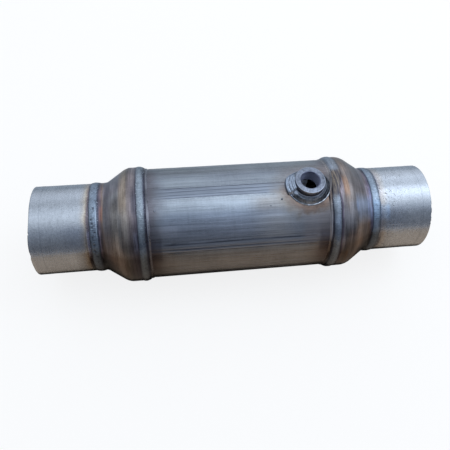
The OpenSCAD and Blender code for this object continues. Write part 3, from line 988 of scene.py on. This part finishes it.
def cone_steel():
    s = Shader("tinted_steel")
    q, left, right = s.q, s.left, s.right
    rings = s.noise(900, 4, 0.6, (1, 0.05, 0.05))
    wide_rings = s.noise(240, 3, 0.6, (1, 0.06, 0.06))
    grain = s.noise(800, 3, 0.6)
    blotch = s.noise(60, 4, 0.6)
    line = s.plus(q, s.swing(s.noise(60, stretch=(0.4, 1, 1)), -0.7, 0.7))
    s.colour = s.tint(
        line,
        [(89, *SCALE), (90.8, 0.17, 0.15, 0.175), (93, 0.215, 0.185, 0.20), (96.5, *UMBER), (99.4, *STRAW),
         (102, 0.33, 0.29, 0.265), (106, 0.41, 0.40, 0.41), (110, 0.37, 0.36, 0.37), (115, 0.27, 0.255, 0.28),
         (118.3, 0.27, 0.25, 0.26), (119.5, *COPPER), (120.8, 0.25, 0.19, 0.20), (122.4, 0.17, 0.145, 0.18),
         (124, *SCALE)],
        [(89, *SCALE), (91, *PLUM), (92.2, 0.25, 0.23, 0.24), (94.5, 0.18, 0.165, 0.17),
         (97.5, 0.24, 0.20, 0.18), (99.5, 0.22, 0.19, 0.18), (102.5, 0.18, 0.165, 0.165),
         (108, 0.25, 0.225, 0.225), (113.5, 0.215, 0.195, 0.205), (116, 0.23, 0.215, 0.235),
         (118.6, 0.28, 0.235, 0.235), (120.6, 0.26, 0.215, 0.235), (121.9, *PLUM), (124, *SCALE)])
    browned = s.spread(s.noise(38, 3, 0.6, (0.7, 1, 1)), 0.42, 0.62, 0, 0.4)
    s.paint((0.29, 0.235, 0.205), browned, s.hump(q, 108, 12))
    # On the outlet cone: baked orange next to the bung, with purple streaks at the bead
    streaky = s.spread(s.noise(1000, 2, 0.5, (1, 0.1, 0.1)), 0.42, 0.58)
    baked = s.times(s.at_angle(3, 10, 10), right)
    s.paint(s.mix(streaky, (0.075, 0.065, 0.08), (0.27, 0.23, 0.25)), baked, s.near(line, 90.4, 93.6, 1), 0.8)
    s.paint((0.30, 0.195, 0.14), baked, s.near(line, 95.6, 98.6, 1.6), 0.85)
    # Blue at the front of its slope, and paler along its neck and at the toe of the neck's bead
    s.paint((0.325, 0.37, 0.475), s.at_angle(28, 13, 14), right, s.at_place(106, 120.6, 3), 0.85)
    s.shade((1.2, 1.22, 1.32), s.at_angle(20, 26, 8), right, s.at_place(118, 120.4, 1))
    s.shade((0.85, 0.92, 1), s.at_angle(10, 8, 8), right, s.at_place(121, 123.4, 0.5))
    s.shade((1.45, 1.55, 1.7), s.at_angle(40, 14, 10), right, s.at_place(121, 123.4, 0.5))
    s.shade((1.32, 1.35, 1.42), s.at_angle(6, 10, 8), right, s.at_place(118, 122.6, 1))
    # Its rim is paler in front, and warmer behind
    s.shade((1.7, 1.68, 1.70), s.at_angle(49, 20, 10), right, s.at_place(90.4, 93.4, 0.8))
    s.shade((0.92, 0.84, 0.80), s.spread(s.angle, 26, 14), right, s.at_place(93.6, 95.2, 0.5))
    # Its bend is bluer in front, and paler behind and low down
    bend_out = s.times(right, s.at_place(98, 105, 2))
    s.shade((1.12, 1.22, 1.36), bend_out, s.at_angle(25, 5, 7))
    s.shade((1.28, 1.22, 1.15), bend_out, s.spread(s.angle, -8, -22))
    s.shade((1.45, 1.32, 1.28), bend_out, s.at_angle(51, 6, 8))
    s.paint((0.345, 0.335, 0.36), s.at_angle(39, 10, 12), right, s.at_place(93, 104, 3), 0.8)
    # On the inlet cone: paler in the middle of the slope, and duller behind
    s.paint((0.54, 0.50, 0.47), s.at_angle(28, 18, 12), left, s.hump(q, 108, 5), 0.75)
    s.shade((0.87, 0.83, 0.87), s.spread(s.angle, -2, -14), left, s.at_place(105, 117, 4))
    # Its rim is darker on top, and paler in front and behind
    rim = s.times(left, s.at_place(90.4, 93.2, 0.8))
    s.shade((0.72, 0.76, 0.80), rim, s.at_angle(9, 10, 10))
    s.shade((1.6, 1.75, 1.9), rim, s.at_angle(46, 9, 8))
    s.shade((1.35, 1.35, 1.25), rim, s.spread(s.angle, -4, -14))
    # Copper on top of its neck and tan at its bend, pale at the toe in front, and plain lower down
    s.shade((1.42, 1.12, 1), s.at_angle(13, 9, 7), left, s.at_place(119.2, 121.8, 0.7))
    s.shade((1.10, 1.02, 0.92), s.spread(s.angle, 22, 8), left, s.at_place(98.6, 104, 1.5))
    s.shade((2.2, 2.1, 2.1), left, s.at_place(121, 123.4, 0.6), s.at_angle(52, 19, 8))
    s.paint((0.20, 0.175, 0.185), s.spread(s.angle, 22, 44), left, s.at_place(118.5, 121.5, 1), 0.8)
    # Painted shade low in front on both cones
    painted_low_shade = s.math("MAXIMUM", s.times(s.at_angle(51, 6, 10), s.at_place(92, 104, 3)),
                      s.times(s.at_angle(51, 6, 10), s.at_place(113, 121, 3)))
    s.dim(s.minus(1, s.times(painted_low_shade, 0.35)))
    s.colour = s.toned(s.colour, (rings, 0.28), (wide_rings, 0.28), (grain, 0.10), (blotch, 0.20))
    # Painted shade underneath, deepest along the lowest strip
    s.shade(s.underside(q, [(89, 0.36), (98, 0.34), (102, 0.50, 0.46, 0.42), (108, 0.60, 0.50, 0.42),
                            (113, 0.42, 0.33, 0.27), (117, 0.26, 0.23, 0.22), (121, 0.18), (124, 0.18)]))
    s.shade((0.95, 0.76, 0.58), s.at_angle(84, 12, 8), right, s.at_place(90.4, 98, 1))
    s.shade(s.by_side((0.40, 0.38, 0.40), (0.26, 0.23, 0.25)), s.spread(s.upward, 0.42, 0.12),
            s.spread(s.plus(q, s.times(right, 4)), 106, 116))
    s.shade((0.40, 0.40, 0.42), s.spread(s.upward, 0.36, 0.22), s.spread(q, 116, 119))
    s.shade(s.by_side((0.76, 0.74, 0.74), (1.25, 1.22, 1.22)), s.spread(s.upward, 0.62, 0.40),
            s.spread(q, 115, 109))
    s.shade(s.shaded_edge(140, 150, s.times(s.at_place(103, 119, 3), 0.14)))
    s.shade(0.30, s.spread(s.upward, -0.10, -0.22))
    rough = s.plus(s.swing(blotch, 0.31, 0.41), s.swing(rings, -0.04, 0.04))
    fine = s.bump(s.plus(rings, s.times(grain, 0.5)), 0.5, 0.06)
    return s.finish(rough, 1, s.bump(wide_rings, 0.4, 0.2, fine))


def weld_steel():
    """Beads that run round the axis: pale blue grey crowns between dark edges."""
    s = Shader("weld_metal")
    q = s.q
    grain = s.noise(700, 3, 0.6)
    blotch = s.noise(140, 4, 0.65)
    at_neck = s.spread(q, 104, 105, kind="LINEAR")
    at_lap = s.minus(1, at_neck)
    lap_out, neck_out, neck_in = s.times(s.right, at_lap), s.times(s.right, at_neck), s.times(at_neck, s.left)
    lap = s.tint(
        s.body_place,
        [(81.6, *SCALE), (82.8, 0.07, 0.07, 0.10), (84.2, 0.22, 0.25, 0.29), (86.8, 0.31, 0.355, 0.40),
         (88.6, 0.27, 0.305, 0.35), (89.6, 0.12, 0.12, 0.15), (91, *SCALE)],
        [(81.6, *SCALE), (82.5, 0.07, 0.07, 0.10), (83.6, 0.28, 0.315, 0.365), (86.4, 0.37, 0.42, 0.49),
         (88.2, 0.32, 0.36, 0.43), (89.4, 0.12, 0.12, 0.15), (91, *SCALE)])
    neck = s.tint(
        q,
        [(122.8, *SCALE), (123.9, 0.11, 0.12, 0.155), (125.2, 0.25, 0.30, 0.37), (129.6, 0.27, 0.32, 0.39),
         (130.6, 0.16, 0.18, 0.22), (131.4, *SCALE)],
        [(122.8, *SCALE), (123.7, 0.15, 0.17, 0.22), (124.8, 0.33, 0.40, 0.49), (128.4, 0.33, 0.39, 0.47),
         (130.2, 0.20, 0.23, 0.28), (131.2, 0.07, 0.08, 0.10)])
    lap = s.dimmed(lap, s.spread(s.angle, -35, 5, 0.95, 0.87))
    s.colour = s.toned(s.mix(at_neck, lap, neck), (grain, 0.18), (blotch, 0.24))
    # The beads on the body have painted shade low down, and the outlet's is greyer behind and brighter in
    # front; its neck bead has painted shade low down too
    s.shade((0.72, 0.74, 0.80), s.at_angle(50, 5, 14), at_lap)
    greyer = s.toned((0.32, 0.35, 0.40), (grain, 0.18), (blotch, 0.24))
    s.paint(greyer, lap_out, s.spread(s.angle, -12, -22), 0.6)
    s.shade((0.72, 0.70, 0.68), lap_out, s.at_angle(-26, 9, 10), s.spread(s.place, 89, 91))
    s.shade((0.72, 0.74, 0.80), lap_out, s.at_angle(-8, 9, 5))
    s.shade((1.3, 1.33, 1.38), lap_out, s.at_angle(39, 6, 8))
    s.shade((0.76, 0.77, 0.80), neck_out, s.at_angle(50, 4, 8))
    s.paint((0.09, 0.10, 0.13), s.spread(s.cells(330), 0.03, 0.15, 0.6, 0))
    # The outlet's neck bead is duller behind and bluer in front, and the beads have bright specks
    s.dim(s.minus(1, s.times(neck_out, s.spread(s.angle, 22, -8), 0.27)))
    s.shade((1.08, 1.18, 1.28), neck_out, s.at_angle(30, 12, 10))
    sparkle = s.spread(s.noise(1000, 2, 0.5), 0.62, 0.70)
    s.paint((0.78, 0.84, 0.92), sparkle, s.spread(s.angle, 45, 15, 0, 0.45))
    # The inlet's neck bead is dimpled, with a painted highlight on its shoulder and round pits painted dark
    # with shade
    dimple = s.times(s.spread(s.noise(520, 2, 0.6), 0.50, 0.60), s.hump(q, 127.3, 3.2))
    s.paint((0.08, 0.095, 0.12), dimple, neck_in, s.at_angle(32, 34, 20), 0.55)
    s.paint((0.58, 0.66, 0.78), s.hump(q, 124.9, 0.55), neck_in, s.at_angle(26, 18, 12), 0.6)
    ragged = s.plus(s.angle, s.swing(s.noise(700, 2, 0.6), -1.4, 1.4))
    for place, degrees, size, _ in NECK_SPOTS_IN:
        round_about = s.times(s.minus(ragged, degrees), PIPE_R * math.radians(1))
        away = s.length(round_about, s.minus(s.place, -place))
        s.paint((0.07, 0.08, 0.10), s.spread(away, size * 1.9, size * 1.9 * 0.3), 0.7)
    # The outlet's bead on the body is browned next to the bung, in streaks along it
    brown = s.ramp(s.noise(520, 3, 0.6, (1, 0.08, 0.08)),
                   [(0.38, 0.05, 0.045, 0.055), (0.52, 0.12, 0.10, 0.095), (0.66, 0.29, 0.235, 0.18)])
    s.paint(brown, s.at_angle(-1.5, 16, 9), lap_out, 0.92)
    # Painted shade underneath and along the lowest strip
    s.shade(s.underside(q, [(82, 0.50), (100, 0.50), (124, 0.26), (131, 0.42)]))
    s.shade(s.shaded_edge(140, 150))
    return s.finish(s.swing(blotch, 0.24, 0.38), 1, s.bump(s.plus(grain, blotch), 0.6, 0.12))


def fillet_steel():
    """The bung's weld: dark, with a paler lump on the inlet side, a painted glint along its near toe and
    painted shade next to the bung.
    """
    s = Shader("bung_weld_metal")
    dx, dy, away = from_bung(s)
    grain = s.noise(800, 3, 0.6)
    blotch = s.noise(170, 4, 0.65)
    passes = s.math("SINE", s.plus(s.times(away, 3.6), s.times(blotch, 4)))
    s.colour = s.toned((0.205, 0.23, 0.275), (grain, 0.30), (blotch, 0.60))
    s.dim(s.spread(dx, 4, 14, 1, 0.42))
    s.dim(s.plus(1, s.times(passes, 0.16)))
    lump = s.times(s.spread(dx, -11, -13), s.spread(dy, -9.8, -9))
    stripes = s.math("SINE", s.plus(s.times(away, 4.6), s.times(blotch, 3)))
    pale = s.toned((0.37, 0.42, 0.51), (grain, 0.2), (blotch, 0.15))
    s.paint(s.dimmed(pale, s.plus(1, s.times(stripes, 0.30))), lump, 0.95)
    # A painted glint along the outermost ridge of the weld on the near side, broken in patches
    stretch = s.math("DIVIDE", s.times(dx, dx), s.times(away, away))
    from_toe = s.minus(away, s.plus(FILLET_R, s.times(stretch, FILLET_STRETCH)))
    patchy = s.spread(s.noise(260, 2, 0.5), 0.40, 0.55, 0.35, 1)
    toe_glint = s.times(s.near(from_toe, -0.85, -0.25, 0.25), s.spread(dy, -5, -9), patchy, s.spread(dx, -11, -6))
    s.paint((0.82, 0.86, 0.92), toe_glint)
    # Painted shade in the corner against the bung, except at the lump
    s.paint((0.08, 0.08, 0.10), s.spread(away, BUNG_R + 1.7, BUNG_R + 0.1, 0, 0.75), s.minus(1, lump))
    rough = s.plus(s.swing(blotch, 0.26, 0.42), s.times(toe_glint, 0.15))
    return s.finish(rough, 1, s.bump(s.plus(grain, blotch, s.times(passes, 0.3)), 0.6, 0.16))


def bung_steel():
    s = Shader("turned_steel")
    dx, dy, away = from_bung(s)
    grain = s.noise(900, 3, 0.6)
    blotch = s.noise(330, 3, 0.6)
    turning = s.math("SINE", s.times(away, 14))
    s.colour = s.toned((0.22, 0.24, 0.29), (grain, 0.30), (blotch, 0.34))
    s.dim(s.spread(dy, -4, -13, 1, 1.4))
    s.dim(s.spread(dx, 8.5, 12.5, 1, 0.72))
    s.dim(s.plus(1, s.times(turning, 0.04)))
    # A painted highlight on the rim, painted shade on the side below the face, and a bore painted dark with
    # shade
    rim = s.times(s.spread(away, BUNG_R - 0.9, BUNG_R - 0.3),
                  s.spread(s.z, (BUNG_FACE - 0.8) * MM, (BUNG_FACE - 0.4) * MM))
    s.paint((0.42, 0.46, 0.54), rim, 0.45)
    below = s.spread(s.z, (BUNG_FACE - 1) * MM, (BUNG_FACE - 4.6) * MM)
    s.paint(s.toned((0.095, 0.10, 0.125), (grain, 0.2), (blotch, 0.3)), below)
    bore = s.along(s.z, [((BUNG_FOOT + 0.3) * MM, 0.115, 0.125, 0.18), (BUNG_FACE * MM, 0.12, 0.13, 0.19)])
    s.paint(bore, s.spread(away, THREAD_MAJOR + 0.25, THREAD_MAJOR))
    return s.finish(s.swing(blotch, 0.30, 0.44), 1, s.bump(s.plus(grain, s.times(turning, 0.3)), 0.4, 0.06))


def ceramic():
    s = Shader("washcoated_ceramic")
    fine = s.noise(1500, 3, 0.6)
    mottled = s.plus(s.times(s.noise(60, 3, 0.6), 0.7), s.times(fine, 0.3))
    s.colour = s.ramp(mottled, [(0.3, 0.40, 0.31, 0.21), (0.7, 0.58, 0.48, 0.35)])
    return s.finish(0.85, 0, s.bump(fine, 0.5, 0.08))


def fibre():
    s = Shader("ceramic_fibre")
    fine = s.noise(1300, 4, 0.7, (0.6, 1, 1), 1)
    s.colour = s.ramp(fine, [(0.3, 0.66, 0.64, 0.58), (0.7, 0.88, 0.86, 0.80)])
    s.paint((0.46, 0.36, 0.22), s.spread(s.cells(420), 0.05, 0.14, 0.7, 0))
    return s.finish(0.95, 0, s.bump(fine, 0.8, 0.25))


def knitted_wire():
    s = Shader("knitted_wire")
    wave = s.math("SINE", s.times(s.x, 1000, 4.2))
    loop = s.math("SINE", s.plus(s.times(s.angle, 3.2), s.times(wave, 1.6)))
    fine = s.noise(1400, 3, 0.6)
    s.colour = s.ramp(s.plus(s.times(loop, 0.25), fine), [(0.2, 0.10, 0.10, 0.10), (0.8, 0.48, 0.47, 0.46)])
    return s.finish(0.38, 1, s.bump(s.plus(s.times(loop, 0.5), fine), 0.8, 0.3))


# The part

pieces = {}


def place_piece(obj, slot, material, *nodes):
    obj.data.materials.clear()
    obj.data.materials.append(material)
    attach(obj, "root")
    if nodes:
        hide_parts(*nodes)
    pieces[obj.name] = obj


steel = pipe_steel()
body = body_steel()
spun = cone_steel()
weld = weld_steel()
fillet = fillet_steel()
turned_steel = bung_steel()
brick_ceramic = ceramic()
mat_fibre = fibre()
wire = knitted_wire()

place_piece(tube("inlet_tube", -1, 101), "neck_steel", steel, "inlet_pipe")
place_piece(tube("outlet_tube", 1, 131), "neck_steel", steel, "outlet_pipe")
place_piece(neck_bead("inlet_tube_bead", -1, NECK_SPOTS_IN, 161), "weld_metal", weld, "inlet_pipe_weld")
place_piece(neck_bead("outlet_tube_bead", 1, NECK_SPOTS_OUT, 171), "weld_metal", weld, "outlet_pipe_weld")
place_piece(cone("inlet_spun_cone", -1, 201), "cone_steel", spun, "inlet_cone")
place_piece(cone("outlet_spun_cone", 1, 211), "cone_steel", spun, "outlet_cone")
place_piece(shell_bead("inlet_lap_bead", -1, SHELL_SPOTS_IN, 221), "weld_metal", weld, "inlet_shell_weld")
place_piece(shell_bead("outlet_lap_bead", 1, SHELL_SPOTS_OUT, 231), "weld_metal", weld, "outlet_shell_weld")
place_piece(shell("sized_shell"), "body_steel", body, "body_shell")
place_piece(bung("threaded_bung"), "bung_steel", turned_steel, "sensor_bung")
place_piece(bung_bead("bung_fillet"), "weld_metal", fillet, "sensor_bung_weld")
place_piece(spatter("weld_spatter", DROPS), "weld_metal", fillet)
for name, start in (("front", FRONT_BRICK), ("rear", REAR_BRICK)):
    seed = 300 if name == "front" else 340
    place_piece(honeycomb(name + "_honeycomb", start), "cordierite", brick_ceramic, name + "_brick")
    mat = wrap_piece(name + "_fibre_mat", start + 4.9, BRICK_LEN - 9.8, 0.10, tongue, 240, 1.6, seed)
    place_piece(mat, "fibre_mat", mat_fibre, name + "_mat")
    for end, at in (("inlet", start), ("outlet", start + BRICK_LEN - 4.5)):
        seal = wrap_piece(f"{name}_wire_seal_{end}", at, 4.5, 0.12, straight, 300, 0.5, seed + 7)
        place_piece(seal, "wire_mesh", wire, f"{name}_mat_{end}_seal")


# Studio: a pale floor, a soft light tent and the camera

FLOOR_Z = cad_box[0][2]
TENT_R, TENT_HALF = 1.5, 2.4


def stage_object(name, verts, faces, material):
    mesh = bpy.data.meshes.new(name)
    mesh.from_pydata(verts, [], faces)
    mesh.materials.append(material)
    obj = link_object(name, mesh)
    return obj


def plane(name, lo, hi, z, material):
    verts = [(lo[0], lo[1], z), (hi[0], lo[1], z), (hi[0], hi[1], z), (lo[0], hi[1], z)]
    return stage_object(name, verts, [(0, 1, 2, 3)], material)


def seen_directly(s):
    """1 for camera, glossy and transmission rays."""
    path = s.add("ShaderNodeLightPath")
    total = path.outputs["Is Camera Ray"]
    for kind in ("Is Glossy Ray", "Is Transmission Ray"):
        node = s.add("ShaderNodeMath", {"operation": "ADD", "use_clamp": True})
        s.feed(node.inputs[0], total)
        s.feed(node.inputs[1], path.outputs[kind])
        total = node.outputs[0]
    return total


def floor_material():
    """White to look at, and still darker where the object's shadow falls."""
    s = Shader("pale_floor")

    def joined(kind, *values):
        node = s.add(kind)
        for socket, value in zip(node.inputs, values):
            s.feed(socket, value)
        return node

    plain = s.add("ShaderNodeBsdfDiffuse", Color=(0.80, 0.80, 0.80))
    lit = s.add("ShaderNodeBsdfDiffuse", Color=(0.20, 0.20, 0.20))
    glow = s.add("ShaderNodeEmission", Color=(1, 1, 1), Strength=0.83)
    white = joined("ShaderNodeAddShader", lit.outputs[0], glow.outputs[0])
    return s.surface(joined("ShaderNodeMixShader", seen_directly(s), plain.outputs[0], white.outputs[0]))


def card_material():
    """A matt card on the floor: wood brown towards the camera, and grey behind."""
    s = Shader("ground_card")
    s.colour = s.mix(s.spread(s.y, -0.02, 0.05), (0.70, 0.52, 0.37), (0.50, 0.53, 0.55))
    # The card is black right under the part, as the ground under it is in deep shade
    reach = s.spread(s.math("ABSOLUTE", s.minus(s.x, MID * MM)), 0.100, 0.125, 0.057, 0.044)
    s.paint((0.02, 0.02, 0.02), s.spread(s.minus(s.math("ABSOLUTE", s.y), reach), 0.008, 0))
    return s.surface(s.add("ShaderNodeBsdfDiffuse", Color=s.colour))


def tent_material():
    """A light tent: white overhead, grey towards the back and dark towards the camera's side."""
    s = Shader("light_tent")
    turn = s.times(s.math("ARCTAN2", s.z, s.y), RAD_TO_DEG)
    level = s.along(turn, [(0, 0.66), (12, 0.78), (26, 0.98), (34, 0.93), (44, 0.78), (54, 0.68),
                           (64, 0.92), (76, 1.16), (94, 1.12), (106, 0.76), (120, 0.45), (138, 0.28),
                           (160, 0.17), (180, 0.18)])
    across = s.minus(s.x, MID * MM)
    ends = s.spread(s.math("ABSOLUTE", across), 0.9, 2, 1, 0.55)
    # Brighter towards the outlet, with a bright end and a window, and shaded below them on both sides
    bright_end = s.times(s.spread(across, 0.45, 0.85, 0, 0.85), s.hump(turn, 72, 28))
    window = s.times(s.hump(turn, 30, 9), s.hump(across, 0.76, 0.20), 0.8)
    gain = s.plus(s.spread(across, -1, 1.2, 0.85, 1.5, "LINEAR"), bright_end, window)
    shade = s.plus(s.times(s.hump(turn, 137, 20), s.spread(across, 0.3, 0.75, 0, 0.45)),
                   s.times(s.hump(turn, 20, 26), s.spread(across, 0.3, 0.75, 0, 0.25)))
    tint = s.along(turn, [(0, 0.90, 0.99, 1.12), (50, 0.87, 0.97, 1.10), (100, 0.87, 0.97, 1.09),
                          (128, 0.84, 0.98, 1.20), (180, 0.90, 0.98, 1.14)])
    strength = s.times(level, ends, s.minus(gain, shade))
    return s.surface(s.add("ShaderNodeEmission", Color=tint, Strength=strength))


def tent():
    n_turn, n_long = 48, 6
    row = n_turn + 1
    verts, faces = [], []
    for i in range(n_long + 1):
        x = MID * MM - TENT_HALF + 2 * TENT_HALF * i / n_long
        for j in range(row):
            a = math.pi * 1.06 * j / n_turn - 0.03 * math.pi
            verts.append((x, TENT_R * math.cos(a), TENT_R * math.sin(a)))
    for i in range(n_long):
        for j in range(n_turn):
            faces.append((i * row + j, i * row + j + 1, (i + 1) * row + j + 1, (i + 1) * row + j))
    faces.append(tuple(range(row)))
    faces.append(tuple(n_long * row + j for j in range(row))[::-1])
    return stage_object("light_tent", verts, faces, tent_material())


plane("studio_floor", (-4, -4), (4.4, 4), FLOOR_Z, floor_material())
card = plane("ground_card", (-1.4, -1.4), (1.8, 1.4), FLOOR_Z + 0.0004, card_material())
card.visible_diffuse = False
card.visible_transmission = False
for obj in (card, tent()):
    obj.visible_camera = False
    obj.visible_shadow = False

world = bpy.data.worlds.new("studio")
bpy.context.scene.world = world
world.use_nodes = True
backdrop = world.node_tree.nodes["Background"]
backdrop.inputs["Color"].default_value = (1, 1, 1, 1)
backdrop.inputs["Strength"].default_value = 1.0

cam_data = bpy.data.cameras.new("camera")
cam_data.sensor_width = 36
cam_data.lens = 41.475
cam_data.shift_x = -0.0333
cam_data.shift_y = 0.00667
cam_data.clip_start = 0.01
cam = bpy.data.objects.new("camera", cam_data)
bpy.context.scene.collection.objects.link(cam)
across = Vector((0.98959, -0.11931, 0.08049))
down = Vector((-0.06898, -0.88404, -0.46229))
ahead = Vector((0.12631, 0.45192, -0.88307))
pose = Matrix((across, -down, -ahead)).transposed().to_4x4()
pose.translation = Vector((0.121718, -0.235707, 0.437961))
cam.matrix_world = pose
bpy.context.scene.camera = cam

bpy.context.scene.view_settings.view_transform = "Standard"
